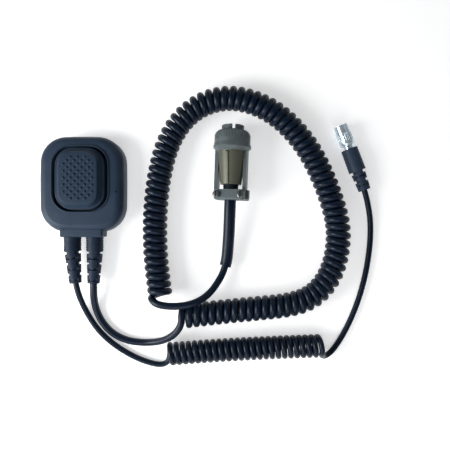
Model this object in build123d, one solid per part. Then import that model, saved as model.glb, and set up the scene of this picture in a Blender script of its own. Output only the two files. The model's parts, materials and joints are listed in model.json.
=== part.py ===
from build123d import *
import math
import os

# Hand microphone with a press pad, two curly cords, a round plug and a push-pull plug.
# Millimetres. Origin at the centre of the housing's back face, +X to the right,
# +Y away from the cords, +Z out of the press pad. It all lies on the plane z = 0.

# Housing
body_width = 61.0
body_height = 69.6
body_bulge = 0.9
body_corner = 19.0
face_z = 17.2
front_round = 6.2
back_round = 3.4
wall = 2.2
parting_z = 9.5

# Press pad and its surround; the pad sits a little above the middle of the housing
pad_y = 3.5
pad_groove_x = 1.95
pad_groove_y = 1.25
ridge_corner = 14.5
ridge_rise = 0.8
ridge_thickness = 1.1
ridge_slope_width = 0.55
ridge_slope_height = 0.7
pad_width = 35.7
pad_height = 44.2
pad_corner = 12.5
pad_bulge = 0.5
pad_rim_rise = 1.0
pad_slope = 4.15
plateau_rise = 4.1
plateau_corner = 6.5
pad_top_thickness = 2.3
pad_edge_round = 0.8
pad_rim_width = 1.1
pad_rim_round = 0.5
pad_crown_sink = 0.4
pad_cavity_inset = 0.3
pad_travel = 1.5
flange_overlap = 1.7
flange_thickness = 1.9
nub_radius = 1.05
nub_height = 0.8
nub_margin_x = 3.58
nub_margin_y = 3.37
nub_rows = 13
nubs_in_long_row = 5
nubs_in_end_row = 3

# Membrane and frame that hold the pad
seal_thickness = 1.0
seal_overlap = 1.6
seal_gap = 0.3
frame_thickness = 1.5
frame_inner_gap = 0.6
rest_gap = 0.2

# Circuit board and switch
board_width = 34.0
board_height = 40.0
board_corner = 3.0
board_z = 5.2
board_thickness = 1.6
board_screw_edge = 3.0
board_screw_radius = 1.0
board_screw_head_radius = 1.9
board_screw_head_height = 1.2
screw_slot_width = 0.5
screw_slot_length = 3.0
screw_slot_depth = 0.4
board_post_radius = 2.4
switch_side = 10.0
switch_height = 4.0
plunger_radius = 1.75
plunger_rise = 1.6
plunger_length = 2.5
running_clearance = 0.08
join_overlap = 0.5
post_radius = 2.2
post_gap = 0.05
hub_radius = 9.5
hub_length = 4.5
spring_radius = 8.1
spring_wire = 0.45
spring_turns = 4.0
terminal_width = 22.0
terminal_depth = 5.0
terminal_height = 3.4
terminal_y = -8.5

# Microphone capsule behind its sound hole
mic_edge = 4.9
mic_y = -5.8
mic_port_radius = 0.6
mic_boss_radius = 3.3
mic_boss_drop = 5.7
mic_holder_radius = 2.7
mic_holder_drop = 5.3
mic_pocket_drop = 2.0
mic_capsule_radius = 2.0
mic_capsule_height = 2.2

# Fasteners of the housing
housing_screw_edge_x = 8.8
housing_screw_edge_y = 8.9
housing_screw_radius = 1.25
housing_screw_head_radius = 2.2
housing_screw_head_height = 1.4
housing_screw_sink = 0.9
housing_screw_top_drop = 2.8
boss_radius = 2.8
seal_ring_inset = 0.7
seal_ring_width = 0.8
seal_ring_height = 1.2

# Gland plate, grip bar and boots
gland_width = 31.4
gland_reach = 3.6
gland_depth = 5.6
gland_half_height = 6.3
gland_round = 1.8
gland_edge_round = 1.2
boot_x = 8.2
boot_root_radius = 6.15
boot_root_length = 10.0
boot_groove_count = 5
boot_groove_depth = 0.3
boot_groove_width = 0.6
boot_root_land = 1.0
boot_neck_step = 0.35
boot_neck_sink = 0.9
boot_neck_rise = 0.6
boot_taper_length = 23.8
boot_end_radius = 4.3
boot_core_radius = 3.4
boot_notch_count = 3
boot_notch_width = 1.75
boot_web = 5.2
boot_first_notch = 1.6
boot_end_land = 2.4
radio_boot_lean = 2.2
headset_boot_lean = -5.3
boot_bore_gap = 0.3
boot_root_bore_extra = 0.25
grip_width = 32.0
grip_from_gland = 4.8
grip_depth = 4.4
grip_cover = 0.2
grip_screw_x = 13.4
cord_past_grip = 4.5
passage_gap = 0.05

# Cords
radio_wire_radius = 2.6
headset_wire_radius = 2.1
radio_coil_radius = 9.1
headset_coil_radius = 8.5
sleeve_radius = 4.3
arc_share = 0.45
inner_wire_radius = 0.45
inner_wire_pitch = 1.5
inner_wire_count = 3
inner_wire_straight = 5.0
inner_wire_spread = 1.4
inner_wire_draw = 0.8

# Round plug, lengths from its cord end along its axis
radio_plug_at = (107.7, -11.7, 14.0)
radio_plug_turn = 2.1
radio_clamp_roll = 13.0
clamp_length = 7.5
clamp_width = 22.6
clamp_half_height = 7.2
clamp_half_gap = 0.4
clamp_corner = 3.0
clamp_end_round = 1.5
clamp_lug = 2.0
clamp_screw_spacing = 17.6
clamp_screw_radius = 1.5
clamp_screw_head_radius = 2.7
clamp_screw_head_height = 2.0
clamp_screw_head_round = 1.2
clamp_slot_width = 0.8
clamp_slot_depth = 0.9
cone_start = 11.3
cone_end = 35.0
cone_small_radius = 7.65
cone_large_radius = 10.4
cone_wall = 1.8
spigot_step = 0.2
spigot_end = 41.1
rib_width = 2.0
rib_rise = 0.9
rib_angle = 68.0
rib_front_slope = 1.5
bush_radius = 5.45
bush_end = 15.5
bead_proud = 0.75
bead_rear_drop = 2.4
bead_front_proud = 0.2
bead_gap = 0.1
bead_rear_slope = 2.3
bead_width = 1.5
bead_front_slope = 0.9
arm_proud = 1.3
arm_thickness = 2.6
arm_width = 7.0
arm_gap = 0.1
ring_start = 41.25
ring_band_end = 43.4
ring_knurl_end = 46.6
ring_end = 50.2
ring_wall = 2.2
ring_lip_length = 1.2
ring_nose_land = 0.75
ring_groove_count = 40
ring_groove_radius = 0.35
ring_dome = [(0.7, 1.6), (1.9, 2.9)]
barrel_radius = 8.15
barrel_wall = 1.7
barrel_end = 53.6
barrel_flange_rise = 2.65
barrel_flange_end = 43.5
barrel_flange_gap = 0.2
barrel_relief = 0.25
barrel_neck_length = 3.0
barrel_slot_width = 2.0
barrel_slot_depth = 3.9
barrel_slot_angle = 94.0
radio_insert_start = 43.0
radio_insert_end = 49.6
radio_contact_count = 6
radio_contact_radius = 0.6
radio_contact_circle = 3.9
radio_contact_tail = 2.0

# Push-pull plug, lengths from its cord end along its axis
headset_plug_at = (207.7, -3.6, 6.2)
headset_plug_turn = -20.7
plug_boot_radius = 6.2
plug_boot_front_radius = 6.0
plug_boot_mid_radius = 5.3
plug_boot_end_radius = 4.4
plug_boot_main_start = 15.0
plug_boot_length = 32.5
plug_notch_count = 2
plug_notch_width = 1.9
plug_notch_land = 4.05
plug_boot_core_radius = 3.4
plug_boot_web = 4.4
core_radius = 3.4
core_start = 24.0
collar_start = 36.05
collar_end = 37.2
collar_gap = 0.15
slider_start = 35.0
slider_cavity_start = 36.0
slider_cavity_end = 43.0
slider_end = 45.7
slider_wall = 0.8
slider_cavity_depth = 1.2
slider_chamfer = 1.0
slider_chamfer_length = 1.6
slider_grip_start = 3.4
slider_grip_end = 1.6
slider_travel = 1.3
slider_groove_count = 24
slider_groove_radius = 0.3
nose_start = 45.9
nose_step = 0.2
nose_wall = 1.0
nose_end = 50.8
headset_insert_recess = 1.2
headset_insert_length = 3.4
headset_insert_shelf = 0.8
headset_contact_count = 6
headset_contact_radius = 0.4
headset_contact_circle = 2.4
headset_contact_rise = 0.8
slider_spring_wire = 0.4
slider_spring_turns = 4.0

os.makedirs("parts", exist_ok=True)


def save(name, shape):
    export_step(shape, "parts/" + name + ".step")


# ---- shapes used more than once ----
def bulged_outline(width, height, bulge, corner):
    """Rounded rectangle whose sides bow outwards, full size given."""
    right = width / 2
    top = height / 2
    x = right - bulge
    y = top - bulge
    edges = [
        ThreePointArc((-x, y), (0, top), (x, y)),
        ThreePointArc((x, y), (right, 0), (x, -y)),
        ThreePointArc((x, -y), (0, -top), (-x, -y)),
        ThreePointArc((-x, -y), (-right, 0), (-x, y)),
    ]
    face = make_face(edges)
    return fillet(face.vertices(), corner)


def body_outline(inset):
    return bulged_outline(
        body_width - 2 * inset, body_height - 2 * inset, body_bulge, body_corner - inset
    )


def pad_outline(width, height, corner):
    return Pos(0, pad_y) * bulged_outline(width, height, pad_bulge, corner)


def slab(sketch, low, high):
    return Pos(0, 0, low) * extrude(sketch, high - low)


def box(x_range, y_range, z_range):
    size = [high - low for low, high in (x_range, y_range, z_range)]
    middle = [(low + high) / 2 for low, high in (x_range, y_range, z_range)]
    return Pos(*middle) * Box(*size)


def rod(radius, low, high, x=0.0, y=0.0):
    return Pos(x, y, (low + high) / 2) * Cylinder(radius, high - low)


def driver_slot(z):
    return Pos(0, 0, z) * Box(screw_slot_width, screw_slot_length, 2 * screw_slot_depth)


def turned(profile):
    """Solid of revolution about local Z from (radius, height) pairs."""
    points = [(radius, 0, height) for radius, height in profile]
    return revolve(make_face(Polyline(*points, close=True)), Axis.Z)


def coil_spring(radius, wire, turns, low, high):
    """Round-wire spring with its two ends ground flat."""
    rise = high - low
    helix = Helix(rise / turns, rise, radius)
    section = Plane(origin=helix @ 0, z_dir=helix % 0) * Circle(wire)
    wound = Pos(0, 0, low) * sweep(section, path=helix, is_frenet=True)
    return wound & rod(radius + 2 * wire, low, high)


def corner_radii(points):
    radii = []
    for before, corner, after in zip(points, points[1:], points[2:]):
        run_in = Vector(*corner) - Vector(*before)
        run_out = Vector(*after) - Vector(*corner)
        turn = math.radians(run_in.get_angle(run_out))
        shorter = min(run_in.length, run_out.length)
        radii.append(arc_share * shorter / math.tan(turn / 2))
    return radii


def cord(name, points, radius):
    """Round cord along straight runs joined by tangent arcs."""
    radii = corner_radii(points)
    route = FilletPolyline(*points, radius=radii)
    section = Plane(origin=route @ 0, z_dir=route % 0) * Circle(radius)
    solid = sweep(section, path=route)
    save(name, solid)
    print(name, "length", round(route.length, 1), "corner radii", [round(r, 1) for r in radii])


def plug_location(at, turn):
    """Local Z is the plug's axis towards its front, local Y is up, local X is its left."""
    angle = math.radians(turn)
    forward = (math.sin(angle), math.cos(angle), 0)
    left = (-math.cos(angle), math.sin(angle), 0)
    return Plane(origin=at, x_dir=left, z_dir=forward).location


def notched(solid, core, web, width, stations):
    """Cuts pairs of slots at the stations, by turns at the sides and above and below."""
    reach = 4 * core
    for index, station in enumerate(stations):
        cutter = Pos(0, 0, station) * Box(reach, reach, width)
        cutter -= rod(core, station - width, station + width)
        if index % 2 == 0:
            cutter -= Pos(0, 0, station) * Box(web, reach, width)
        else:
            cutter -= Pos(0, 0, station) * Box(reach, web, width)
        solid -= cutter
    return solid


# ---- sizes and places that follow from the ones above ----
ridge_width = pad_width + 2 * (pad_groove_x + ridge_thickness)
ridge_height = pad_height + 2 * (pad_groove_y + ridge_thickness)
plateau_width = pad_width - 2 * pad_slope
plateau_height = pad_height - 2 * pad_slope
nub_pitch_x = (plateau_width - 2 * nub_margin_x) / (nubs_in_long_row - 1)
nub_pitch_y = (plateau_height - 2 * nub_margin_y) / (nub_rows - 1)
board_screw_x = board_width / 2 - board_screw_edge
board_screw_y = board_height / 2 - board_screw_edge
mic_x = body_width / 2 - mic_edge
housing_screw_x = body_width / 2 - housing_screw_edge_x
housing_screw_y = body_height / 2 - housing_screw_edge_y
gland_outer_y = -body_height / 2 - gland_reach
gland_inner_y = gland_outer_y + gland_depth
grip_y = gland_inner_y + grip_from_gland
cord_inner_end_y = grip_y + cord_past_grip
boot_z = parting_z
grip_top_z = boot_z + max(radio_wire_radius, headset_wire_radius) + grip_cover
pad_rim_z = face_z + pad_rim_rise
plateau_z = pad_rim_z + plateau_rise
pad_cavity_z = plateau_z - pad_top_thickness
hub_z = pad_cavity_z - hub_length
mic_boss_z = face_z - mic_boss_drop
mic_holder_z = face_z - mic_holder_drop
mic_pocket_z = face_z - mic_pocket_drop
housing_screw_top_z = face_z - housing_screw_top_drop
spigot_radius = cone_large_radius + spigot_step
arm_outer = cone_large_radius + arm_proud
barrel_flange_radius = barrel_radius + barrel_flange_rise
ring_radius = barrel_flange_radius + ring_wall
ring_nose_radius = barrel_radius + ring_nose_land
bead_radius = ring_radius + bead_proud
bead_rear_radius = bead_radius - bead_rear_drop
bead_front_radius = ring_radius + bead_front_proud
slider_cavity_radius = core_radius + slider_cavity_depth
slider_radius = slider_cavity_radius + slider_wall
slider_spring_radius = (core_radius + slider_cavity_radius) / 2
collar_radius = slider_cavity_radius - collar_gap
nose_radius = slider_radius - nose_step
nose_bore_radius = nose_radius - nose_wall

# ---- heights inside the housing ----
ceiling_z = face_z - wall
seal_low_z = ceiling_z - seal_thickness
frame_low_z = seal_low_z - frame_thickness
flange_top_z = seal_low_z - rest_gap
flange_low_z = flange_top_z - flange_thickness
board_top_z = board_z + board_thickness
switch_top_z = board_top_z + switch_height
plunger_top_z = switch_top_z + plunger_rise

# ---- housing covers ----
block = extrude(body_outline(0), face_z)
block = fillet(block.edges().group_by(Axis.Z)[-1], front_round)
block = fillet(block.edges().group_by(Axis.Z)[0], back_round)
inside = slab(body_outline(wall), wall, ceiling_z)
inside = fillet(inside.edges().group_by(Axis.Z)[-1], front_round - wall)
inside = fillet(inside.edges().group_by(Axis.Z)[0], back_round - wall)

far = body_height
back_half = box((-far, far), (-far, far), (-1, parting_z))
front_half = box((-far, far), (-far, far), (parting_z, face_z + 1))
gland_block = box(
    (-gland_width / 2, gland_width / 2),
    (gland_outer_y, gland_inner_y),
    (boot_z - gland_half_height, boot_z + gland_half_height),
)
gland_block = fillet(gland_block.edges().filter_by(Axis.Y), gland_round)
gland_block = fillet(gland_block.edges().group_by(Axis.Y)[0], gland_edge_round)
cord_ports = [(boot_x, radio_wire_radius), (-boot_x, headset_wire_radius)]
cord_passages = Compound(
    children=[
        Pos(x, (gland_outer_y + cord_inner_end_y) / 2, boot_z)
        * Rot(90, 0, 0)
        * Cylinder(radius + passage_gap, cord_inner_end_y - gland_outer_y + 2)
        for x, radius in cord_ports
    ]
)

seal_low = parting_z - seal_ring_height / 2
seal_high = parting_z + seal_ring_height / 2
seal_ring = slab(body_outline(seal_ring_inset), seal_low, seal_high)
seal_ring -= slab(body_outline(seal_ring_inset + seal_ring_width), seal_low - 1, seal_high + 1)
seal_ring -= gland_block

housing_screw_spots = [
    (x, y)
    for x in (-housing_screw_x, housing_screw_x)
    for y in (-housing_screw_y, housing_screw_y)
]
screw_head_z = housing_screw_sink + housing_screw_head_height

front_bosses = [rod(boss_radius, parting_z, face_z, x, y) for x, y in housing_screw_spots]
front_bosses.append(rod(mic_boss_radius, mic_boss_z, face_z, mic_x, mic_y))
front_cover = (block - inside) & front_half
for boss in front_bosses:
    front_cover += boss & block
ridge_outline = pad_outline(ridge_width, ridge_height, ridge_corner)
opening_outline = pad_outline(
    ridge_width - 2 * ridge_thickness,
    ridge_height - 2 * ridge_thickness,
    ridge_corner - ridge_thickness,
)
ridge = slab(ridge_outline, face_z - ridge_thickness, face_z + ridge_rise)
ridge = fillet(ridge.edges().group_by(Axis.Z)[-1], ridge_thickness / 3)
front_cover += ridge
front_cover -= slab(opening_outline, seal_low_z, face_z + 2 * ridge_rise)
ridge_top_z = face_z + ridge_rise
slope_outline = pad_outline(
    ridge_width - 2 * (ridge_thickness - ridge_slope_width),
    ridge_height - 2 * (ridge_thickness - ridge_slope_width),
    ridge_corner - ridge_thickness + ridge_slope_width,
)
front_cover -= loft([
    Pos(0, 0, ridge_top_z - ridge_slope_height) * opening_outline,
    Pos(0, 0, ridge_top_z) * slope_outline,
])
for x, y in housing_screw_spots:
    front_cover -= rod(housing_screw_radius, parting_z, housing_screw_top_z, x, y)
front_cover -= rod(mic_holder_radius, mic_boss_z, mic_pocket_z, mic_x, mic_y)
front_cover -= rod(mic_port_radius, mic_pocket_z, face_z + 1, mic_x, mic_y)
front_cover -= seal_ring
front_cover -= gland_block
front_cover -= cord_passages
save("front_cover", front_cover)

board_spots = [
    (x, pad_y + y) for x in (-board_screw_x, board_screw_x) for y in (-board_screw_y, board_screw_y)
]
grip_spots = [(-grip_screw_x, grip_y), (grip_screw_x, grip_y)]
grip_y_range = (grip_y - grip_depth / 2, grip_y + grip_depth / 2)
back_cover = (block - inside) & back_half
for x, y in housing_screw_spots:
    back_cover += rod(boss_radius, wall / 2, parting_z, x, y) & block
for x, y in board_spots:
    back_cover += rod(board_post_radius, wall / 2, board_z, x, y)
back_cover += box((-grip_width / 2, grip_width / 2), grip_y_range, (wall / 2, parting_z))
for x, y in housing_screw_spots:
    back_cover -= rod(housing_screw_radius, 0, parting_z, x, y)
    back_cover -= rod(housing_screw_head_radius, -1, screw_head_z, x, y)
for x, y in board_spots:
    back_cover -= rod(board_screw_radius, wall, board_z, x, y)
for x, y in grip_spots:
    back_cover -= rod(board_screw_radius, wall, parting_z, x, y)
back_cover -= seal_ring
back_cover -= gland_block
back_cover -= cord_passages
save("back_cover", back_cover)
save("housing_seal", seal_ring)

housing_screw = rod(housing_screw_radius, screw_head_z, housing_screw_top_z)
housing_screw += rod(housing_screw_head_radius, housing_screw_sink, screw_head_z)
housing_screw -= driver_slot(housing_screw_sink)
save("housing_screws", Compound([Pos(x, y) * housing_screw for x, y in housing_screw_spots]))

gland_plate = gland_block - cord_passages
save("gland_plate", gland_plate)

# ---- press pad, its membrane and the frame under it ----
skirt = slab(pad_outline(pad_width, pad_height, pad_corner), flange_low_z, pad_rim_z)
skirt = fillet(skirt.edges().group_by(Axis.Z)[-1], pad_rim_round)
crown_outline = pad_outline(
    pad_width - 2 * pad_rim_width, pad_height - 2 * pad_rim_width, pad_corner - pad_rim_width
)
rim_face = Pos(0, 0, pad_rim_z - pad_crown_sink) * crown_outline
plateau_face = Pos(0, 0, plateau_z) * pad_outline(plateau_width, plateau_height, plateau_corner)
crown = loft([rim_face, plateau_face])
talk_pad = skirt + crown
talk_pad = fillet(talk_pad.edges().group_by(Axis.Z)[-1], pad_edge_round)
flange_outline = pad_outline(
    pad_width + 2 * flange_overlap, pad_height + 2 * flange_overlap, pad_corner + flange_overlap
)
talk_pad += slab(flange_outline, flange_low_z, flange_top_z)
talk_pad -= slab(
    pad_outline(
        plateau_width - 2 * pad_cavity_inset, plateau_height - 2 * pad_cavity_inset, plateau_corner
    ),
    flange_low_z - 1,
    pad_cavity_z,
)
talk_pad += rod(hub_radius, hub_z, pad_cavity_z + join_overlap, 0, pad_y)
talk_pad += rod(post_radius, plunger_top_z + post_gap, hub_z + join_overlap, 0, pad_y)
nub_ball = (nub_radius**2 + nub_height**2) / (2 * nub_height)
nubs = []
for row in range(nub_rows):
    if row in (0, nub_rows - 1):
        count = nubs_in_end_row
    else:
        count = nubs_in_long_row - row % 2
    y = pad_y + (row - (nub_rows - 1) / 2) * nub_pitch_y
    for place in range(count):
        x = (place - (count - 1) / 2) * nub_pitch_x
        nubs.append(Pos(x, y, plateau_z + nub_height - nub_ball) * Sphere(nub_ball))
talk_pad += nubs
save("talk_pad", talk_pad)

seal_hole = pad_outline(
    pad_width + 2 * seal_gap, pad_height + 2 * seal_gap, pad_corner + seal_gap
)
frame_outline = pad_outline(
    ridge_width - 2 * ridge_thickness + 2 * seal_overlap,
    ridge_height - 2 * ridge_thickness + 2 * seal_overlap,
    ridge_corner - ridge_thickness + seal_overlap,
)
frame_hole = pad_outline(
    pad_width + 2 * flange_overlap + 2 * frame_inner_gap,
    pad_height + 2 * flange_overlap + 2 * frame_inner_gap,
    pad_corner + flange_overlap + frame_inner_gap,
)
save("pad_seal", slab(frame_outline - seal_hole, seal_low_z, ceiling_z))
save("pad_frame", slab(frame_outline - frame_hole, frame_low_z, seal_low_z))

# ---- board, switch and return spring ----
board = slab(
    Pos(0, pad_y) * RectangleRounded(board_width, board_height, board_corner), board_z, board_top_z
)
for x, y in board_spots:
    board -= rod(board_screw_radius, board_z - 1, board_top_z + 1, x, y)
save("circuit_board", board)

board_screw = rod(board_screw_radius, wall, board_top_z)
board_screw += rod(board_screw_head_radius, board_top_z, board_top_z + board_screw_head_height)
board_screw -= driver_slot(board_top_z + board_screw_head_height)
save("board_screws", Compound([Pos(x, y) * board_screw for x, y in board_spots]))

switch_body = box(
    (-switch_side / 2, switch_side / 2),
    (pad_y - switch_side / 2, pad_y + switch_side / 2),
    (board_top_z, switch_top_z),
)
plunger_low_z = plunger_top_z - plunger_length
plunger_bore_low_z = plunger_low_z - pad_travel - rest_gap
switch_body -= rod(
    plunger_radius + running_clearance, plunger_bore_low_z, switch_top_z + 1, 0, pad_y
)
save("switch_body", switch_body)
save("switch_plunger", rod(plunger_radius, plunger_low_z, plunger_top_z, 0, pad_y))
spring = coil_spring(spring_radius, spring_wire, spring_turns, board_top_z, hub_z)
save("return_spring", Pos(0, pad_y) * spring)

terminal_y_range = (terminal_y - terminal_depth / 2, terminal_y + terminal_depth / 2)
terminal_z_range = (board_top_z, board_top_z + terminal_height)
terminal = box((-terminal_width / 2, terminal_width / 2), terminal_y_range, terminal_z_range)
save("terminal_block", terminal)


def inner_wires(name, x):
    wires = []
    for index in range(inner_wire_count):
        shift = (index - (inner_wire_count - 1) / 2) * inner_wire_pitch
        points = [
            (x + shift, cord_inner_end_y, boot_z),
            (x + shift, cord_inner_end_y + inner_wire_straight, boot_z),
            (
                x * inner_wire_draw + shift * inner_wire_spread,
                terminal_y_range[0],
                board_top_z + terminal_height / 2,
            ),
        ]
        route = FilletPolyline(*points, radius=corner_radii(points))
        section = Plane(origin=route @ 0, z_dir=route % 0) * Circle(inner_wire_radius)
        wires.append(sweep(section, path=route))
    save(name, Compound(wires))


inner_wires("radio_wires", boot_x)
inner_wires("headset_wires", -boot_x)

# ---- microphone capsule in its rubber holder ----
capsule_low_z = mic_pocket_z - mic_capsule_height
capsule = rod(mic_capsule_radius, capsule_low_z, mic_pocket_z, mic_x, mic_y)
save("mic_capsule", capsule)
holder = rod(mic_holder_radius, mic_holder_z, mic_pocket_z, mic_x, mic_y)
holder -= rod(mic_capsule_radius, capsule_low_z, mic_pocket_z, mic_x, mic_y)
holder -= rod(mic_capsule_radius / 2, mic_holder_z, capsule_low_z, mic_x, mic_y)
save("mic_holder", holder)

# ---- grip bar over both cords ----
grip_bar = box((-grip_width / 2, grip_width / 2), grip_y_range, (parting_z, grip_top_z))
grip_bar -= cord_passages
for x, y in grip_spots:
    grip_bar -= rod(board_screw_radius, parting_z - 1, grip_top_z + 1, x, y)
save("cord_grip", grip_bar)
grip_screw = rod(board_screw_radius, wall, grip_top_z)
grip_screw += rod(board_screw_head_radius, grip_top_z, grip_top_z + board_screw_head_height)
grip_screw -= driver_slot(grip_top_z + board_screw_head_height)
save("grip_screws", Compound([Pos(x, y) * grip_screw for x, y in grip_spots]))


# ---- boots at the housing ----
def boot(name, x, lean, wire_radius):
    """Straight ribbed root, then a notched taper that leans a little to one side."""
    straight = rod(boot_root_radius, 0, boot_root_length)
    pitch = (boot_root_length - 2 * boot_root_land) / boot_groove_count
    for index in range(boot_groove_count):
        low = boot_root_land + (index + 0.5) * pitch
        groove = rod(2 * boot_root_radius, low, low + boot_groove_width)
        groove -= rod(boot_root_radius - boot_groove_depth, low, low + boot_groove_width)
        straight -= groove
    length = boot_taper_length
    first_radius = boot_root_radius - boot_neck_step
    taper = turned([
        (0, -boot_neck_sink),
        (first_radius, -boot_neck_sink),
        (first_radius, boot_neck_rise),
        (boot_end_radius, length),
        (0, length),
    ])
    step = (length - boot_first_notch - boot_end_land) / (2 * boot_notch_count - 1)
    stations = [boot_first_notch + index * step for index in range(2 * boot_notch_count)]
    taper = notched(taper, boot_core_radius, boot_web, boot_notch_width, stations)
    leaning = Pos(0, 0, boot_root_length) * Rot(0, lean, 0)
    bore = wire_radius + boot_bore_gap
    shape = straight + leaning * taper
    shape -= rod(bore + boot_root_bore_extra, -1, boot_root_length + boot_bore_gap)
    shape -= leaning * rod(bore, 0, length + 1)
    place = Plane(origin=(x, gland_outer_y, boot_z), x_dir=(1, 0, 0), z_dir=(0, -1, 0)).location
    save(name, place * shape)


# With +Z pointing to the cord end, a positive lean carries the end towards -X.
boot("radio_boot", boot_x, -radio_boot_lean, radio_wire_radius)
boot("headset_boot", -boot_x, -headset_boot_lean, headset_wire_radius)
boot_joint_y = gland_outer_y - boot_root_length


def boot_axis_point(x, lean, share):
    reach = share * boot_taper_length
    angle = math.radians(lean)
    return (x - reach * math.sin(angle), boot_joint_y - reach * math.cos(angle), boot_z)


# ---- radio cord ----
radio_start = (boot_x, cord_inner_end_y, boot_z)
radio_joint = (boot_x, boot_joint_y, boot_z)
radio_bend = (boot_x - 0.3, boot_joint_y - 12.0, boot_z)
radio_boot_exit = boot_axis_point(boot_x, radio_boot_lean, 1.0)
radio_lead = [
    radio_start,
    (boot_x + 0.02, (cord_inner_end_y + boot_joint_y) / 2, boot_z),
    radio_joint,
    radio_bend,
    radio_boot_exit,
    (6.5, -82.0, 7.3),
    (6.6, -91.0, 3.8),
    (9.6, -99.6, 2.7),
    (15.0, -107.2, 2.7),
    (21.8, -112.8, 2.7),
    (30.8, -116.6, 2.7),
    (40.6, -118.0, 2.7),
    (49.2, -117.5, 4.2),
    (57.4, -115.1, 8.6),
    (64.7, -110.9, 13.2),
    (69.7, -106.0, 15.6),
    (72.6, -100.5, 16.2),
    (73.9, -95.6, 15.6),
]
radio_loop = [
    (72.6, -96.9, radio_coil_radius),
    (95.1, -94.1, radio_coil_radius),
    (126.0, -91.1, radio_coil_radius),
    (152.0, -88.6, radio_coil_radius),
    (168.2, -82.8, radio_coil_radius),
    (179.6, -70.6, radio_coil_radius),
    (186.2, -53.6, radio_coil_radius),
    (187.9, -31.8, radio_coil_radius),
    (182.6, -11.0, radio_coil_radius),
    (173.9, 10.9, radio_coil_radius),
    (162.9, 30.8, radio_coil_radius),
    (146.6, 48.9, radio_coil_radius),
    (128.2, 60.0, radio_coil_radius),
    (107.6, 64.7, radio_coil_radius),
    (87.6, 60.2, radio_coil_radius),
    (71.6, 48.0, radio_coil_radius),
    (60.6, 28.6, radio_coil_radius),
    (54.5, 2.5, radio_coil_radius),
    (52.2, -24.4, radio_coil_radius),
    (52.5, -48.0, radio_coil_radius),
    (54.2, -66.4, radio_coil_radius),
    (56.4, -81.9, radio_coil_radius),
]
sleeve_start = (104.0, -60.0, 6.9)
radio_tail = [
    (49.9, -78.5, 8.4),
    (49.9, -82.6, 12.6),
    (53.6, -86.0, 16.2),
    (60.5, -87.6, 17.6),
    (69.5, -87.8, 18.0),
    (78.6, -86.6, 17.7),
    (86.6, -83.8, 15.4),
    (93.4, -78.8, 11.6),
    (98.4, -72.2, 8.6),
    (102.1, -65.9, 7.1),
    sleeve_start,
]
radio_plug = plug_location(radio_plug_at, radio_plug_turn)


def onwards(before, point, share):
    """Carries the run from before to point on by a share of its length."""
    return tuple(b + share * (b - a) for a, b in zip(before, point))


def on_plug(location, distance):
    point = (location * Pos(0, 0, distance)).position
    return (point.X, point.Y, point.Z)


radio_sleeve = [
    sleeve_start,
    onwards(radio_tail[-2], sleeve_start, 0.65),
    (106.1, -46.0, 8.0),
    (106.8, -35.0, 10.1),
    (107.2, -24.0, 12.5),
    on_plug(radio_plug, -1.5),
    on_plug(radio_plug, clamp_length),
]
cord("radio_cord_lead", radio_lead, radio_wire_radius)
cord("radio_cord_coil", radio_loop, radio_coil_radius)
cord("radio_cord_tail", radio_tail, radio_wire_radius)
cord("radio_cord_sleeve", radio_sleeve, sleeve_radius)

# ---- headset cord ----
headset_plug = plug_location(headset_plug_at, headset_plug_turn)
headset_lead = [
    (-boot_x, cord_inner_end_y, boot_z),
    (-boot_x - 0.02, (cord_inner_end_y + boot_joint_y) / 2, boot_z),
    (-boot_x, boot_joint_y, boot_z),
    (-boot_x + 0.95, boot_joint_y - 12.0, boot_z),
    boot_axis_point(-boot_x, headset_boot_lean, 1.0),
    (-4.5, -81.0, 7.4),
    (-2.4, -89.8, 3.9),
    (1.2, -98.0, 2.2),
    (6.3, -106.0, 2.2),
    (13.1, -113.6, 2.2),
    (21.6, -120.6, 2.2),
    (31.0, -126.5, 2.2),
    (40.8, -131.2, 2.2),
    (49.4, -134.0, 2.2),
    (56.4, -134.9, 2.2),
    (61.6, -132.4, 2.2),
    (63.8, -127.6, 2.3),
]
headset_straight = [
    (62.2, -124.7, headset_coil_radius),
    (85.4, -122.9, headset_coil_radius),
    (115.0, -121.0, headset_coil_radius),
    (144.5, -119.7, headset_coil_radius),
    (174.4, -118.6, headset_coil_radius),
]
headset_tail = [
    (173.0, -121.8, 12.6),
    (175.2, -126.2, 8.0),
    (179.4, -127.9, 3.6),
    (185.2, -123.9, 2.2),
    (192.4, -113.2, 2.2),
    (199.2, -99.6, 2.2),
    (204.9, -84.9, 2.2),
    (209.2, -69.4, 2.2),
    (212.1, -53.8, 2.2),
    (213.6, -38.8, 2.2),
    (213.2, -25.6, 2.9),
    (210.9, -14.4, 4.6),
    on_plug(headset_plug, 0.0),
    on_plug(headset_plug, core_start / 2),
]
cord("headset_cord_lead", headset_lead, headset_wire_radius)
cord("headset_cord_coil", headset_straight, headset_coil_radius)
cord("headset_cord_tail", headset_tail, headset_wire_radius)

# ---- round plug ----
rolled = radio_plug * Rot(0, 0, -radio_clamp_roll)
cone_outer = [
    (cone_small_radius, cone_start),
    (cone_large_radius, cone_end),
    (spigot_radius, cone_end),
    (spigot_radius, spigot_end),
]
cone_inner = [
    (spigot_radius - cone_wall, spigot_end),
    (cone_large_radius - cone_wall, cone_end),
    (cone_small_radius - cone_wall, bush_end),
    (bush_radius, bush_end),
    (bush_radius, cone_start),
]
backshell = turned(cone_outer + cone_inner)
rib = Pos(0, 0, (cone_start + cone_end) / 2) * Box(
    2 * (cone_large_radius + rib_rise), rib_width, cone_end - cone_start
)
rib &= turned([
    (cone_small_radius - join_overlap, cone_start),
    (cone_small_radius + rib_rise, cone_start),
    (cone_large_radius + rib_rise, cone_end - rib_front_slope),
    (cone_large_radius - join_overlap, cone_end),
])
rib &= box((0, 2 * spigot_radius), (-rib_width, rib_width), (cone_start, cone_end))
backshell += Rot(0, 0, rib_angle) * rib
save("radio_plug_backshell", radio_plug * backshell)

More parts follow.
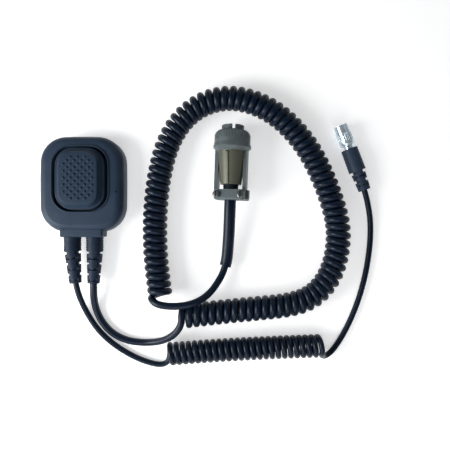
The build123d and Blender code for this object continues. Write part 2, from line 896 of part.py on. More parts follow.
bead_start = cone_end + bead_gap
bead_crest = bead_start + bead_rear_slope
bead = turned([
    (spigot_radius, bead_start),
    (bead_rear_radius, bead_start),
    (bead_radius, bead_crest),
    (bead_radius, bead_crest + bead_width),
    (bead_front_radius, bead_crest + bead_width + bead_front_slope),
    (bead_front_radius, spigot_end),
    (spigot_radius, spigot_end),
])
lower_saddle = box(
    (-clamp_width / 2 - clamp_lug, clamp_width / 2),
    (-clamp_half_height, -clamp_half_gap),
    (0, clamp_length),
)
lower_saddle = fillet(
    lower_saddle.edges().filter_by(Axis.Z).group_by(Axis.Y)[0], clamp_corner
)
lower_saddle = fillet(lower_saddle.edges().group_by(Axis.Z)[0], clamp_end_round)
clamp_frame = bead + lower_saddle
for side in (-1, 1):
    arm = box(
        (arm_outer - arm_thickness, arm_outer),
        (-arm_width / 2, arm_width / 2),
        (clamp_length, cone_end + 2 * join_overlap),
    )
    foot = box(
        (arm_outer - arm_thickness, arm_outer),
        (-arm_width / 2, -clamp_half_gap),
        (clamp_length / 2, clamp_length + 2 * join_overlap),
    )
    mirrored = Rot(0, 0, 90 - 90 * side)
    if side < 0:
        foot = mirror(foot, Plane.YZ)
        clamp_frame += mirrored * arm + foot
    else:
        clamp_frame += arm + foot
screw_x = clamp_screw_spacing / 2
upright = Rot(-90, 0, 0)
clamp_hole_high = clamp_half_height + 1.0
for x in (-screw_x, screw_x):
    hole = Pos(x, 0, clamp_length / 2) * Rot(90, 0, 0)
    clamp_frame -= hole * Cylinder(clamp_screw_radius, 2 * clamp_hole_high)
clamp_frame -= rod(sleeve_radius, -1, clamp_length + 1)
clamp_frame -= turned([
    (0, cone_start),
    (cone_small_radius + arm_gap, cone_start),
    (cone_large_radius + arm_gap, cone_end),
    (spigot_radius, cone_end),
    (spigot_radius, spigot_end + 1),
    (0, spigot_end + 1),
])
save("radio_plug_clamp_frame", rolled * clamp_frame)

upper_saddle = box(
    (-clamp_width / 2, clamp_width / 2), (clamp_half_gap, clamp_half_height), (0, clamp_length)
)
upper_saddle = fillet(
    upper_saddle.edges().filter_by(Axis.Z).group_by(Axis.Y)[-1], clamp_corner
)
upper_saddle = fillet(upper_saddle.edges().group_by(Axis.Z)[0], clamp_end_round)
upper_saddle -= rod(sleeve_radius, -1, clamp_length + 1)
for x in (-screw_x, screw_x):
    hole = Pos(x, 0, clamp_length / 2) * Rot(90, 0, 0)
    upper_saddle -= hole * Cylinder(clamp_screw_radius, 2 * clamp_hole_high)
save("radio_plug_clamp_saddle", rolled * upper_saddle)

clamp_screw_top = clamp_half_height + clamp_screw_head_height
clamp_screw = rod(clamp_screw_radius, -clamp_screw_top, clamp_half_height)
clamp_head = rod(clamp_screw_head_radius, clamp_half_height, clamp_screw_top)
clamp_head = fillet(clamp_head.edges().group_by(Axis.Z)[-1], clamp_screw_head_round)
clamp_screw += clamp_head
clamp_screw -= Pos(0, 0, clamp_screw_top) * Box(
    clamp_slot_width, 3 * clamp_screw_head_radius, 2 * clamp_slot_depth
)
clamp_screws = Compound([
    Pos(x, 0, clamp_length / 2) * upright * clamp_screw for x in (-screw_x, screw_x)
])
save("radio_plug_clamp_screws", rolled * clamp_screws)
save("radio_plug_cable_bush", radio_plug * rod(bush_radius, clamp_length, bush_end))

slot_turn = Rot(0, 0, barrel_slot_angle)
barrel_base = spigot_end + barrel_flange_gap
barrel = turned([
    (barrel_radius - barrel_wall, radio_insert_start),
    (barrel_radius - barrel_wall, barrel_end),
    (barrel_radius, barrel_end),
    (barrel_radius, ring_end + bead_gap),
    (barrel_radius - barrel_relief, ring_end + bead_gap),
    (barrel_radius - barrel_relief, barrel_flange_end),
    (barrel_flange_radius, barrel_flange_end),
    (barrel_flange_radius, barrel_base),
    (barrel_radius - 2 * barrel_wall, barrel_base),
    (barrel_radius - 2 * barrel_wall, radio_insert_start),
])
slot = box(
    (-2 * barrel_radius, 2 * barrel_radius),
    (-barrel_slot_width / 2, barrel_slot_width / 2),
    (barrel_end - barrel_slot_depth, barrel_end + 1),
)
barrel -= slot_turn * slot
spigot_neck = turned([
    (barrel_radius - 2 * barrel_wall, spigot_end - barrel_neck_length),
    (cone_large_radius - cone_wall, spigot_end - barrel_neck_length),
    (cone_large_radius - cone_wall, barrel_base + join_overlap),
    (barrel_radius - 2 * barrel_wall, barrel_base + join_overlap),
])
save("radio_plug_barrel", radio_plug * (barrel + spigot_neck))

insert = rod(barrel_radius - barrel_wall, radio_insert_start, radio_insert_end)
contacts = []
radio_contact_low = radio_insert_start - radio_contact_tail
for index in range(radio_contact_count):
    angle = math.radians(index * 360 / radio_contact_count)
    x = radio_contact_circle * math.cos(angle)
    y = radio_contact_circle * math.sin(angle)
    contacts.append(rod(radio_contact_radius, radio_contact_low, radio_insert_end, x, y))
contact_set = Compound(contacts)
for contact in contacts:
    insert -= contact
save("radio_plug_insert", radio_plug * insert)
save("radio_plug_contacts", radio_plug * contact_set)

ring_bore = barrel_flange_radius + running_clearance
lip_bore = barrel_radius + running_clearance
dome = [(ring_radius - drop, ring_knurl_end + rise) for drop, rise in ring_dome]
coupling_ring = turned([
    (ring_bore, ring_start),
    (ring_radius, ring_start),
    (ring_radius, ring_knurl_end),
    *dome,
    (ring_nose_radius, ring_end),
    (lip_bore, ring_end),
    (lip_bore, ring_end - ring_lip_length),
    (ring_bore, ring_end - 2 * ring_lip_length),
])
for index in range(ring_groove_count):
    angle = math.radians(index * 360 / ring_groove_count)
    x = ring_radius * math.cos(angle)
    y = ring_radius * math.sin(angle)
    coupling_ring -= rod(ring_groove_radius, ring_band_end, ring_knurl_end, x, y)
save("radio_plug_coupling_ring", radio_plug * coupling_ring)

# ---- push-pull plug ----
plug_boot = turned([
    (headset_wire_radius, 0),
    (plug_boot_end_radius, 0),
    (plug_boot_mid_radius, plug_boot_main_start),
    (plug_boot_radius, plug_boot_main_start),
    (plug_boot_front_radius, plug_boot_length),
    (core_radius, plug_boot_length),
    (core_radius, core_start),
    (headset_wire_radius, core_start),
])
notch_stations = []
last_notch = plug_boot_main_start - plug_notch_width / 2
notch_step = (last_notch - plug_notch_land) / (2 * plug_notch_count - 1)
for index in range(2 * plug_notch_count):
    notch_stations.append(last_notch - index * notch_step)
plug_boot = notched(
    plug_boot, plug_boot_core_radius, plug_boot_web, plug_notch_width, notch_stations
)
save("headset_plug_boot", headset_plug * plug_boot)

core = rod(core_radius, core_start, nose_start + join_overlap)
core += rod(collar_radius, collar_start, collar_end)
nose = rod(nose_radius, nose_start, nose_end)
insert_front = nose_end - headset_insert_recess
insert_rear = insert_front - headset_insert_length
core += nose
core -= rod(nose_bore_radius, insert_rear, nose_end + 1)
core -= rod(headset_wire_radius, core_start - 1, insert_rear - headset_insert_shelf)
save("headset_plug_core", headset_plug * core)

headset_insert = rod(nose_bore_radius, insert_rear, insert_front)
headset_contacts = []
contact_front = insert_front + headset_contact_rise
for index in range(headset_contact_count):
    angle = math.radians(index * 360 / headset_contact_count)
    x = headset_contact_circle * math.cos(angle)
    y = headset_contact_circle * math.sin(angle)
    headset_contacts.append(rod(headset_contact_radius, insert_rear, contact_front, x, y))
for contact in headset_contacts:
    headset_insert -= contact
save("headset_plug_insert", headset_plug * headset_insert)
save("headset_plug_contacts", headset_plug * Compound(headset_contacts))

slider_bore = core_radius + running_clearance
slider = turned([
    (slider_bore, slider_start),
    (slider_radius - slider_chamfer, slider_start),
    (slider_radius, slider_start + slider_chamfer_length),
    (slider_radius, slider_end),
    (slider_bore, slider_end),
    (slider_bore, slider_cavity_end),
    (slider_cavity_radius, slider_cavity_end),
    (slider_cavity_radius, slider_cavity_start),
    (slider_bore, slider_cavity_start),
])
for index in range(slider_groove_count):
    angle = math.radians(index * 360 / slider_groove_count)
    x = slider_radius * math.cos(angle)
    y = slider_radius * math.sin(angle)
    slider -= rod(
        slider_groove_radius, slider_start + slider_grip_start, slider_end - slider_grip_end, x, y
    )
save("headset_plug_slider", headset_plug * slider)
slider_spring = coil_spring(
    slider_spring_radius, slider_spring_wire, slider_spring_turns,
    collar_end, slider_cavity_end - slider_travel - rest_gap,
)
save("headset_plug_spring", headset_plug * slider_spring)
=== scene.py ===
import json
import math
import bpy
import bmesh
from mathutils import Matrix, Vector


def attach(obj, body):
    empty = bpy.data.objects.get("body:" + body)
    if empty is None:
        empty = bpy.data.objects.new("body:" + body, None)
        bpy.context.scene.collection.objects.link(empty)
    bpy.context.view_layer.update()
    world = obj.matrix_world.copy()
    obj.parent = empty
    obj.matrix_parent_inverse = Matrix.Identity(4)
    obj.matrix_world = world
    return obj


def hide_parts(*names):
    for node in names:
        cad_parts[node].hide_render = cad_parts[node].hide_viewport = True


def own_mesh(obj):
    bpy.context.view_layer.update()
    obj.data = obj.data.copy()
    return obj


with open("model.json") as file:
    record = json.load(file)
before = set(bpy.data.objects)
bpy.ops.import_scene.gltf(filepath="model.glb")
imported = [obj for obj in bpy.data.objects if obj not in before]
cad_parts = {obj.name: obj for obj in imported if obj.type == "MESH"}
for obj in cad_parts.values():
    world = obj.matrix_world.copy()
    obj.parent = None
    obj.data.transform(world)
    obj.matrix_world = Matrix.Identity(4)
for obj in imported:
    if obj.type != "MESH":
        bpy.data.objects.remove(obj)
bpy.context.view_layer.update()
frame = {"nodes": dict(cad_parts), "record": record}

record = frame["record"]
mm = 0.001


def toMetres(points):
    return [Vector(point) * mm for point in points]


# camera, light and floor
viewSettings = {
    "eye": (103.9, -29.6, 300.0),  # straight above the middle of the layout
    "lens": 31.6,
    "sensor": 36.0,
    "nearClip": 0.01,
    "floorColor": (0.93, 0.935, 0.94),
    "floorGlow": 0.5,  # keeps the paper white under the part
    "worldStrength": 0.28,
    "ceiling": (0.03, 0.045, 0.075),  # the dark room above, seen in upward faces
    "ceilingFrom": 0.35,  # where the sky starts and stops darkening, 0 at the horizon and 1 straight up
    "ceilingTo": 0.92,
    "floorSize": 1.5,
    "floorMiddle": (0.1, -0.03, -0.0002),
    "floorRoughness": 0.85,
}
# place and target in mm, size of the lit square in m, power in W
lamps = {
    "keyLight": {"place": (-330, -150, 270), "target": (90, -20, 0), "size": 0.3, "power": 3.0},
    "fillLight": {"place": (60, -420, 330), "target": (100, -30, 0), "size": 0.4, "power": 1.0},
    "backLight": {"place": (430, 420, 420), "target": (100, -30, 0), "size": 0.5, "power": 0.35},
}


def addLamp(name):
    facts = lamps[name]
    lamp = bpy.data.lights.new(name, "AREA")
    lamp.energy = facts["power"]
    lamp.size = facts["size"]
    holder = bpy.data.objects.new(name, lamp)
    holder.location = Vector(facts["place"]) * mm
    aim = Vector(facts["target"]) * mm - holder.location
    holder.rotation_euler = aim.to_track_quat("-Z", "Y").to_euler()
    bpy.context.scene.collection.objects.link(holder)


def addCamera():
    camera = bpy.data.cameras.new("camera")
    camera.lens = viewSettings["lens"]
    camera.sensor_width = viewSettings["sensor"]
    camera.clip_start = viewSettings["nearClip"]
    holder = bpy.data.objects.new("camera", camera)
    holder.location = Vector(viewSettings["eye"]) * mm
    bpy.context.scene.collection.objects.link(holder)
    bpy.context.scene.camera = holder


def setWorld():
    world = bpy.data.worlds.new("studio")
    world.use_nodes = True
    nodes, links = world.node_tree.nodes, world.node_tree.links
    sky = nodes["Background"]
    sky.inputs["Strength"].default_value = viewSettings["worldStrength"]
    place = nodes.new("ShaderNodeTexCoord")
    axes = nodes.new("ShaderNodeSeparateXYZ")
    links.new(place.outputs["Generated"], axes.inputs["Vector"])
    shade = nodes.new("ShaderNodeValToRGB")
    shade.color_ramp.elements[0].position = viewSettings["ceilingFrom"]
    shade.color_ramp.elements[0].color = (1.0, 1.0, 1.0, 1.0)
    shade.color_ramp.elements[1].position = viewSettings["ceilingTo"]
    shade.color_ramp.elements[1].color = (*viewSettings["ceiling"], 1.0)
    links.new(axes.outputs["Z"], shade.inputs["Fac"])
    links.new(shade.outputs["Color"], sky.inputs["Color"])
    bpy.context.scene.world = world
    bpy.context.scene.view_settings.view_transform = "Standard"


def layFloor():
    bm = bmesh.new()
    bmesh.ops.create_grid(bm, x_segments=1, y_segments=1, size=viewSettings["floorSize"])
    bmesh.ops.translate(bm, verts=bm.verts, vec=viewSettings["floorMiddle"])
    floor = makeObject("floor", bm)
    paper = bpy.data.materials.new("floorPaper")
    paper.use_nodes = True
    shader = paper.node_tree.nodes["Principled BSDF"]
    shader.inputs["Base Color"].default_value = (*viewSettings["floorColor"], 1.0)
    shader.inputs["Roughness"].default_value = viewSettings["floorRoughness"]
    shader.inputs["Emission Color"].default_value = (1.0, 1.0, 1.0, 1.0)
    shader.inputs["Emission Strength"].default_value = viewSettings["floorGlow"]
    floor.data.materials.append(paper)


def setStage():
    addCamera()
    for name in lamps:
        addLamp(name)
    setWorld()
    layFloor()
    print("stage set")


def makeObject(name, bm):
    mesh = bpy.data.meshes.new(name)
    bm.to_mesh(mesh)
    bm.free()
    piece = bpy.data.objects.new(name, mesh)
    bpy.context.scene.collection.objects.link(piece)
    return piece


# node groups that several finishes share
def newGroup(name, inputs, outputs):
    group = bpy.data.node_groups.new(name, "ShaderNodeTree")
    for label, kind, value in inputs:
        socket = group.interface.new_socket(label, in_out="INPUT", socket_type=kind)
        socket.default_value = value
    for label, kind in outputs:
        group.interface.new_socket(label, in_out="OUTPUT", socket_type=kind)
    source = group.nodes.new("NodeGroupInput")
    result = group.nodes.new("NodeGroupOutput")
    return group, source, result


def addNoise(nodes, detail):
    noise = nodes.new("ShaderNodeTexNoise")
    noise.inputs["Detail"].default_value = detail
    return noise


def addRange(nodes, limits):
    spread = nodes.new("ShaderNodeMapRange")
    spread.inputs["From Min"].default_value = limits[0]
    spread.inputs["From Max"].default_value = limits[1]
    return spread


grainSettings = {
    "cloudDetail": 5.0,
    "grainDetail": 3.0,
    "contrast": (0.3, 0.7),  # the part of the noise that is spread over the full range
}


def makeGrainGroup():
    # fine moulded or cast texture: a cloudy tone, a fine height and a mask for roughness
    group, source, result = newGroup(
        "surfaceGrain",
        [
            ("Base", "NodeSocketColor", (0.1, 0.1, 0.1, 1.0)),
            ("Worn", "NodeSocketColor", (0.2, 0.2, 0.2, 1.0)),
            ("Grain Scale", "NodeSocketFloat", 2500.0),
            ("Cloud Scale", "NodeSocketFloat", 60.0),
            ("Cloud Amount", "NodeSocketFloat", 0.25),
            ("Low Roughness", "NodeSocketFloat", 0.4),
            ("High Roughness", "NodeSocketFloat", 0.6),
        ],
        [("Color", "NodeSocketColor"), ("Roughness", "NodeSocketFloat"), ("Height", "NodeSocketFloat")],
    )
    nodes, links = group.nodes, group.links
    place = nodes.new("ShaderNodeTexCoord")
    cloud = addNoise(nodes, grainSettings["cloudDetail"])
    links.new(place.outputs["Object"], cloud.inputs["Vector"])
    links.new(source.outputs["Cloud Scale"], cloud.inputs["Scale"])
    grain = addNoise(nodes, grainSettings["grainDetail"])
    links.new(place.outputs["Object"], grain.inputs["Vector"])
    links.new(source.outputs["Grain Scale"], grain.inputs["Scale"])
    spread = addRange(nodes, grainSettings["contrast"])
    links.new(cloud.outputs["Fac"], spread.inputs["Value"])
    amount = nodes.new("ShaderNodeMath")
    amount.operation = "MULTIPLY"
    links.new(spread.outputs["Result"], amount.inputs[0])
    links.new(source.outputs["Cloud Amount"], amount.inputs[1])
    tone = nodes.new("ShaderNodeMix")
    tone.data_type = "RGBA"
    links.new(amount.outputs[0], tone.inputs["Factor"])
    links.new(source.outputs["Base"], tone.inputs[6])
    links.new(source.outputs["Worn"], tone.inputs[7])
    rough = addRange(nodes, grainSettings["contrast"])
    links.new(grain.outputs["Fac"], rough.inputs["Value"])
    links.new(source.outputs["Low Roughness"], rough.inputs["To Min"])
    links.new(source.outputs["High Roughness"], rough.inputs["To Max"])
    links.new(tone.outputs[2], result.inputs["Color"])
    links.new(rough.outputs["Result"], result.inputs["Roughness"])
    links.new(grain.outputs["Fac"], result.inputs["Height"])
    return group


edgeSettings = {
    "bevelSamples": 6,
    "bevelRadius": 0.0005,
    "turn": (0.995, 0.86),  # cosine between the two normals, from unworn to fully worn
    "patchScale": 420.0,
    "patchDetail": 4.0,
    "patchContrast": (0.35, 0.65),
}


def makeEdgeGroup():
    # light rubbed edges: where a rounded normal leaves the true one, broken up by noise
    group, source, result = newGroup(
        "edgeWear",
        [
            ("Color", "NodeSocketColor", (0.1, 0.1, 0.1, 1.0)),
            ("Edge", "NodeSocketColor", (0.4, 0.4, 0.4, 1.0)),
            ("Amount", "NodeSocketFloat", 0.5),
        ],
        [("Color", "NodeSocketColor"), ("Mask", "NodeSocketFloat")],
    )
    nodes, links = group.nodes, group.links
    bevel = nodes.new("ShaderNodeBevel")
    bevel.samples = edgeSettings["bevelSamples"]
    bevel.inputs["Radius"].default_value = edgeSettings["bevelRadius"]
    flat = nodes.new("ShaderNodeNewGeometry")
    compare = nodes.new("ShaderNodeVectorMath")
    compare.operation = "DOT_PRODUCT"
    links.new(bevel.outputs["Normal"], compare.inputs[0])
    links.new(flat.outputs["Normal"], compare.inputs[1])
    edge = addRange(nodes, edgeSettings["turn"])
    links.new(compare.outputs["Value"], edge.inputs["Value"])
    place = nodes.new("ShaderNodeTexCoord")
    patch = addNoise(nodes, edgeSettings["patchDetail"])
    patch.inputs["Scale"].default_value = edgeSettings["patchScale"]
    links.new(place.outputs["Object"], patch.inputs["Vector"])
    broken = addRange(nodes, edgeSettings["patchContrast"])
    links.new(patch.outputs["Fac"], broken.inputs["Value"])
    both = nodes.new("ShaderNodeMath")
    both.operation = "MULTIPLY"
    links.new(edge.outputs["Result"], both.inputs[0])
    links.new(broken.outputs["Result"], both.inputs[1])
    scaled = nodes.new("ShaderNodeMath")
    scaled.operation = "MULTIPLY"
    scaled.use_clamp = True
    links.new(both.outputs[0], scaled.inputs[0])
    links.new(source.outputs["Amount"], scaled.inputs[1])
    mix = nodes.new("ShaderNodeMix")
    mix.data_type = "RGBA"
    links.new(scaled.outputs[0], mix.inputs["Factor"])
    links.new(source.outputs["Color"], mix.inputs[6])
    links.new(source.outputs["Edge"], mix.inputs[7])
    links.new(mix.outputs[2], result.inputs["Color"])
    links.new(scaled.outputs[0], result.inputs["Mask"])
    return group


grainGroup = makeGrainGroup()
edgeGroup = makeEdgeGroup()

# what a user would change in the finishes: colours are linear, sizes are per metre
finishes = {
    "housing_plastic": {
        "base": (0.018, 0.034, 0.062), "worn": (0.032, 0.052, 0.084), "edge": (0.060, 0.085, 0.120),
        "edgeAmount": 0.45, "grain": 3200, "cloud": 70, "cloudAmount": 0.5,
        "rough": (0.40, 0.54), "bump": 0.05, "metal": 0.0, "specular": 0.22,
    },
    "pad_plastic": {
        "base": (0.016, 0.032, 0.058), "worn": (0.026, 0.045, 0.073), "edge": (0.070, 0.095, 0.130),
        "edgeAmount": 0.5, "grain": 3600, "cloud": 90, "cloudAmount": 0.5,
        "rough": (0.40, 0.54), "bump": 0.06, "metal": 0.0, "specular": 0.18,
    },
    "seal_rubber": {
        "base": (0.005, 0.010, 0.017), "worn": (0.010, 0.016, 0.024), "edge": (0.025, 0.032, 0.04),
        "edgeAmount": 0.3, "grain": 2600, "cloud": 80, "cloudAmount": 0.5,
        "rough": (0.5, 0.7), "bump": 0.1, "metal": 0.0, "specular": 0.15,
    },
    "inner_plastic": {
        "base": (0.06, 0.06, 0.066), "worn": (0.09, 0.09, 0.1), "edge": (0.14, 0.14, 0.15),
        "edgeAmount": 0.3, "grain": 2600, "cloud": 80, "cloudAmount": 0.4,
        "rough": (0.4, 0.6), "bump": 0.05, "metal": 0.0, "specular": 0.3,
    },
    "board_laminate": {
        "base": (0.012, 0.10, 0.04), "worn": (0.03, 0.16, 0.07), "edge": (0.25, 0.25, 0.12),
        "edgeAmount": 0.4, "grain": 1500, "cloud": 240, "cloudAmount": 0.6,
        "rough": (0.25, 0.4), "bump": 0.03, "metal": 0.0, "specular": 0.5,
    },
    "screw_steel": {
        "base": (0.20, 0.22, 0.22), "worn": (0.13, 0.14, 0.135), "edge": (0.5, 0.52, 0.52),
        "edgeAmount": 0.6, "grain": 4200, "cloud": 300, "cloudAmount": 0.6,
        "rough": (0.24, 0.42), "bump": 0.03, "metal": 0.85, "specular": 0.4,
    },
    "wire_insulation": {
        "base": (0.35, 0.03, 0.02), "worn": (0.45, 0.06, 0.04), "edge": (0.5, 0.1, 0.08),
        "edgeAmount": 0.2, "grain": 2500, "cloud": 200, "cloudAmount": 0.4,
        "rough": (0.35, 0.5), "bump": 0.02, "metal": 0.0, "specular": 0.4,
    },
    "boot_rubber": {
        "base": (0.012, 0.023, 0.046), "worn": (0.020, 0.034, 0.060), "edge": (0.045, 0.065, 0.095),
        "edgeAmount": 0.5, "grain": 2800, "cloud": 120, "cloudAmount": 0.5,
        "rough": (0.46, 0.62), "bump": 0.08, "metal": 0.0, "specular": 0.18,
    },
    "plug_boot": {
        "base": (0.020, 0.036, 0.066), "worn": (0.033, 0.051, 0.082), "edge": (0.06, 0.085, 0.12),
        "edgeAmount": 0.5, "grain": 2800, "cloud": 120, "cloudAmount": 0.5,
        "rough": (0.44, 0.6), "bump": 0.08, "metal": 0.0, "specular": 0.22,
    },
    "cord_jacket": {
        "base": (0.0014, 0.0078, 0.0215), "worn": (0.005, 0.013, 0.030), "edge": (0.04, 0.05, 0.07),
        "edgeAmount": 0.0, "grain": 2200, "cloud": 110, "cloudAmount": 0.6,
        "rough": (0.3, 0.42), "bump": 0.05, "metal": 0.0, "specular": 0.24,
    },
    "plug_grey": {
        "base": (0.118, 0.152, 0.168), "worn": (0.152, 0.168, 0.155), "edge": (0.30, 0.35, 0.36),
        "edgeAmount": 0.7, "grain": 3600, "cloud": 55, "cloudAmount": 0.7,
        "rough": (0.34, 0.5), "bump": 0.07, "metal": 0.35, "specular": 0.32,
    },
    "shell_grey": {
        "base": (0.122, 0.136, 0.112), "worn": (0.155, 0.150, 0.104), "edge": (0.28, 0.30, 0.26),
        "edgeAmount": 0.6, "grain": 3600, "cloud": 45, "cloudAmount": 0.8,
        "rough": (0.34, 0.5), "bump": 0.07, "metal": 0.35, "specular": 0.3,
    },
    "plug_chrome": {
        "base": (0.70, 0.84, 0.95), "worn": (0.60, 0.66, 0.68), "edge": (0.85, 0.88, 0.9),
        "edgeAmount": 0.5, "grain": 4200, "cloud": 180, "cloudAmount": 0.5,
        "rough": (0.14, 0.26), "bump": 0.02, "metal": 0.62, "specular": 0.5,
    },
    "insert_plastic": {
        "base": (0.02, 0.02, 0.021), "worn": (0.03, 0.03, 0.032), "edge": (0.08, 0.08, 0.08),
        "edgeAmount": 0.4, "grain": 3000, "cloud": 150, "cloudAmount": 0.4,
        "rough": (0.3, 0.5), "bump": 0.04, "metal": 0.0, "specular": 0.4,
    },
    "contact_brass": {
        "base": (0.75, 0.52, 0.2), "worn": (0.6, 0.4, 0.15), "edge": (0.9, 0.7, 0.35),
        "edgeAmount": 0.5, "grain": 4000, "cloud": 300, "cloudAmount": 0.5,
        "rough": (0.2, 0.35), "bump": 0.02, "metal": 1.0, "specular": 0.5,
    },
}
grainDepth = 0.0003
materials = {}


def makeFinish(name):
    facts = finishes[name]
    finish = bpy.data.materials.new(name)
    finish.use_nodes = True
    nodes, links = finish.node_tree.nodes, finish.node_tree.links
    shader = nodes["Principled BSDF"]
    grain = nodes.new("ShaderNodeGroup")
    grain.node_tree = grainGroup
    grain.inputs["Base"].default_value = (*facts["base"], 1.0)
    grain.inputs["Worn"].default_value = (*facts["worn"], 1.0)
    grain.inputs["Grain Scale"].default_value = facts["grain"]
    grain.inputs["Cloud Scale"].default_value = facts["cloud"]
    grain.inputs["Cloud Amount"].default_value = facts["cloudAmount"]
    grain.inputs["Low Roughness"].default_value = facts["rough"][0]
    grain.inputs["High Roughness"].default_value = facts["rough"][1]
    color = grain.outputs["Color"]
    if facts["edgeAmount"] > 0:
        edge = nodes.new("ShaderNodeGroup")
        edge.node_tree = edgeGroup
        edge.inputs["Edge"].default_value = (*facts["edge"], 1.0)
        edge.inputs["Amount"].default_value = facts["edgeAmount"]
        links.new(color, edge.inputs["Color"])
        color = edge.outputs["Color"]
    links.new(color, shader.inputs["Base Color"])
    links.new(grain.outputs["Roughness"], shader.inputs["Roughness"])
    bump = nodes.new("ShaderNodeBump")
    bump.inputs["Strength"].default_value = facts["bump"]
    bump.inputs["Distance"].default_value = grainDepth
    links.new(grain.outputs["Height"], bump.inputs["Height"])
    links.new(bump.outputs["Normal"], shader.inputs["Normal"])
    shader.inputs["Metallic"].default_value = facts["metal"]
    shader.inputs["Specular IOR Level"].default_value = facts["specular"]
    materials[name] = finish
    return finish


for finishName in finishes:
    makeFinish(finishName)
slotOfNode = {part["node"]: part["material_slot"] for part in record["subparts"]}
bodyOfNode = {node: body for body, nodes in record["behaviour"]["bodies"].items() for node in nodes}
setStage()

# cords
radioCord = {
    "wire": 5.2,
    "sleeveRadius": 4.3,
    "coilRadius": 6.5,
    "turns": 83.75,
    "startTurn": 90.0,  # degrees round the coil's axis, 0 to the left of its run, 90 on top
    "hand": -1,
    "lead": [
        (8.2, -40.0, 9.5), (8.2, -48.4, 9.5), (7.9, -60.4, 9.5), (7.3, -72.2, 9.5),
        (6.5, -82.0, 7.3), (6.6, -91.0, 3.8), (9.6, -99.6, 2.7), (15.0, -107.2, 2.7),
        (21.8, -112.8, 2.7), (30.8, -116.6, 2.7), (40.6, -118.0, 2.7), (49.2, -117.5, 4.2),
        (57.4, -115.1, 8.6), (64.7, -110.9, 13.2), (69.7, -106.0, 15.6), (72.4, -100.9, 16.2),
    ],
    "loop": [
        (72.6, -96.9, 9.1), (95.1, -94.1, 9.1), (126.0, -91.1, 9.1), (152.0, -88.6, 9.1),
        (168.2, -82.8, 9.1), (179.6, -70.6, 9.1), (186.2, -53.6, 9.1), (187.9, -31.8, 9.1),
        (182.6, -11.0, 9.1), (173.9, 10.9, 9.1), (162.9, 30.8, 9.1), (146.6, 48.9, 9.1),
        (128.2, 60.0, 9.1), (107.6, 64.7, 9.1), (87.6, 60.2, 9.1), (71.6, 48.0, 9.1),
        (60.6, 28.6, 9.1), (54.5, 2.5, 9.1), (52.2, -24.4, 9.1), (52.5, -48.0, 9.1),
        (54.2, -66.4, 9.1), (56.4, -81.9, 9.1),
    ],
    "tail": [
        (50.3, -83.3, 13.0), (53.6, -86.0, 16.2), (60.5, -87.6, 17.6), (69.5, -87.8, 18.0),
        (78.6, -86.6, 17.7), (86.6, -83.8, 15.4), (93.4, -78.8, 11.6), (98.4, -72.2, 8.6),
        (102.1, -65.9, 7.1), (104.0, -60.0, 6.9),
    ],
    "sleeve": [
        (104.0, -60.0, 6.9), (105.2, -56.2, 6.8), (106.1, -46.0, 8.0), (106.8, -35.0, 10.1),
        (107.2, -24.0, 12.5), (107.6, -13.2, 14.0), (108.0, -4.2, 14.0),
    ],
}
headsetCord = {
    "wire": 4.2,
    "coilRadius": 6.35,
    "turns": 24.675,
    "startTurn": -115.0,
    "hand": 1,
    "lead": [
        (-8.2, -40.0, 9.5), (-8.2, -48.4, 9.5), (-7.25, -60.4, 9.5), (-6.0, -72.1, 9.5),
        (-4.5, -81.0, 7.4), (-2.4, -89.8, 3.9), (1.2, -98.0, 2.2), (6.3, -106.0, 2.2),
        (13.1, -113.6, 2.2), (21.6, -120.6, 2.2), (31.0, -126.5, 2.2), (40.8, -131.2, 2.2),
        (49.4, -134.0, 2.2), (56.4, -134.9, 2.2), (61.2, -132.6, 2.2),
    ],
    "loop": [
        (62.2, -124.7, 8.5), (85.4, -122.9, 8.5), (115.0, -121.0, 8.5), (144.5, -119.7, 8.5),
        (174.4, -118.6, 8.5),
    ],
    "tail": [
        (175.2, -126.2, 8.0), (179.4, -127.9, 3.6), (185.2, -123.9, 2.2), (192.4, -113.2, 2.2),
        (199.2, -99.6, 2.2), (204.9, -84.9, 2.2), (209.2, -69.4, 2.2), (212.1, -53.8, 2.2),
        (213.6, -38.8, 2.2), (213.2, -25.6, 2.9), (210.9, -14.4, 4.6), (207.7, -3.6, 6.2),
        (203.5, 7.6, 6.2),
    ],
}
cordMesh = {"steps": 4, "roundness": 5, "sleeveRoundness": 8, "guideSteps": 12, "pointsPerTurn": 12}


def makeSpline(name, points, radius=0.0):
    curve = bpy.data.curves.new(name, "CURVE")
    curve.dimensions = "3D"
    curve.resolution_u = cordMesh["steps"]
    curve.bevel_depth = radius
    curve.bevel_resolution = cordMesh["roundness"]
    curve.use_fill_caps = True
    spline = curve.splines.new("NURBS")
    spline.points.add(len(points) - 1)
    for control, point in zip(spline.points, points):
        control.co = (*point, 1.0)
    spline.order_u = 3
    spline.use_endpoint_u = True
    holder = bpy.data.objects.new(name, curve)
    bpy.context.scene.collection.objects.link(holder)
    return holder


def readLine(points, steps):
    # the smooth line that the points guide
    guide = makeSpline("guide", points)
    guide.data.resolution_u = steps
    depsgraph = bpy.context.evaluated_depsgraph_get()
    mesh = bpy.data.meshes.new_from_object(guide.evaluated_get(depsgraph))
    line = [vertex.co.copy() for vertex in mesh.vertices]
    bpy.data.meshes.remove(mesh)
    bpy.data.objects.remove(guide)
    return line


def lineLength(line):
    return sum((b - a).length for a, b in zip(line, line[1:]))


def alongLine(line, distance):
    for a, b in zip(line, line[1:]):
        step = (b - a).length
        if distance <= step:
            break
        distance -= step
    heading = (b - a).normalized()
    return a + heading * min(distance, step), heading


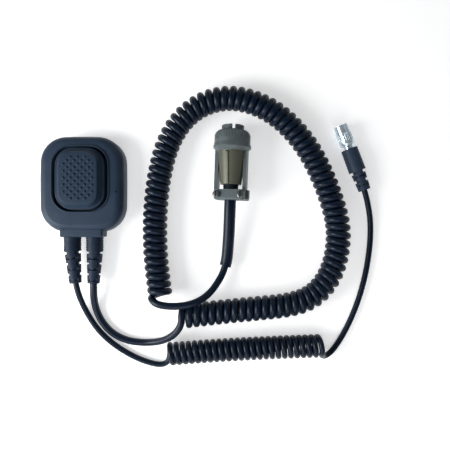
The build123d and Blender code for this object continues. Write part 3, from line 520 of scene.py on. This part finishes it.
def windCoil(facts):
    perTurn = cordMesh["pointsPerTurn"]
    line = readLine(toMetres(facts["loop"]), cordMesh["guideSteps"])
    total = lineLength(line)
    pull = math.cos(math.pi / perTurn)  # a spline through so few points a turn runs inside them
    radius = facts["coilRadius"] * mm / pull
    count = int(round(facts["turns"] * perTurn))
    up = Vector((0, 0, 1))
    points = []
    for index in range(count + 1):
        share = index / count
        centre, heading = alongLine(line, share * total)
        side = up.cross(heading).normalized()
        angle = math.radians(facts["startTurn"] + facts["hand"] * 360 * facts["turns"] * share)
        points.append(centre + side * radius * math.cos(angle) + up * radius * math.sin(angle))
    return points


def makeCord(name, facts, extra=()):
    points = toMetres(facts["lead"]) + windCoil(facts) + toMetres(facts["tail"]) + toMetres(extra)
    piece = makeSpline(name, points, facts["wire"] / 2 * mm)
    piece.data.materials.append(materials["cord_jacket"])
    length = lineLength(readLine(points, cordMesh["steps"]))
    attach(piece, "unit")
    print(name, "wire length", round(length, 3))
    return piece, length


radioWire, radioLength = makeCord("radio_cord", radioCord, radioCord["sleeve"][1:])
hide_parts("radio_cord_lead", "radio_cord_coil", "radio_cord_tail")
headsetWire, headsetLength = makeCord("headset_cord", headsetCord)
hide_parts("headset_cord_lead", "headset_cord_coil", "headset_cord_tail")


def makeSleeve():
    piece = makeSpline("radio_sleeve", toMetres(radioCord["sleeve"]), radioCord["sleeveRadius"] * mm)
    piece.data.bevel_resolution = cordMesh["sleeveRoundness"]
    piece.data.materials.append(materials["cord_jacket"])
    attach(piece, "unit")
    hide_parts("radio_cord_sleeve")
    return piece


radioSleeve = makeSleeve()
print("cords made")


# pieces that keep the shape of their solids, with smooth shading
# finishes that differ a little from the rest of their slot
finishOfNode = {"radio_plug_backshell": "shell_grey", "headset_plug_boot": "plug_boot"}
# gap and edge in m, angle in degrees
skinSettings = {"mergeGap": 0.000002, "shortestEdge": 0.000001, "sharpAngle": 32.0}


def smoothCopy(node):
    bm = bmesh.new()
    bm.from_mesh(frame["nodes"][node].data)
    bmesh.ops.remove_doubles(bm, verts=bm.verts, dist=skinSettings["mergeGap"])
    bmesh.ops.dissolve_degenerate(bm, edges=bm.edges, dist=skinSettings["shortestEdge"])
    bmesh.ops.recalc_face_normals(bm, faces=bm.faces)
    for face in bm.faces:
        face.smooth = True
    for edge in bm.edges:
        if len(edge.link_faces) != 2 or edge.calc_face_angle(0.0) > math.radians(skinSettings["sharpAngle"]):
            edge.smooth = False
    piece = makeObject(node + "_skin", bm)
    piece.data.materials.append(materials[finishOfNode.get(node, slotOfNode[node])])
    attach(piece, bodyOfNode[node])
    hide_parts(node)
    return piece


cordNodes = ("radio_cord_lead", "radio_cord_coil", "radio_cord_tail", "radio_cord_sleeve",
             "headset_cord_lead", "headset_cord_coil", "headset_cord_tail")
skins = {}
for nodeName in frame["nodes"]:
    if nodeName not in cordNodes:
        skins[nodeName] = smoothCopy(nodeName)
print("skins made", len(skins))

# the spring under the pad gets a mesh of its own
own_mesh(skins["return_spring"])
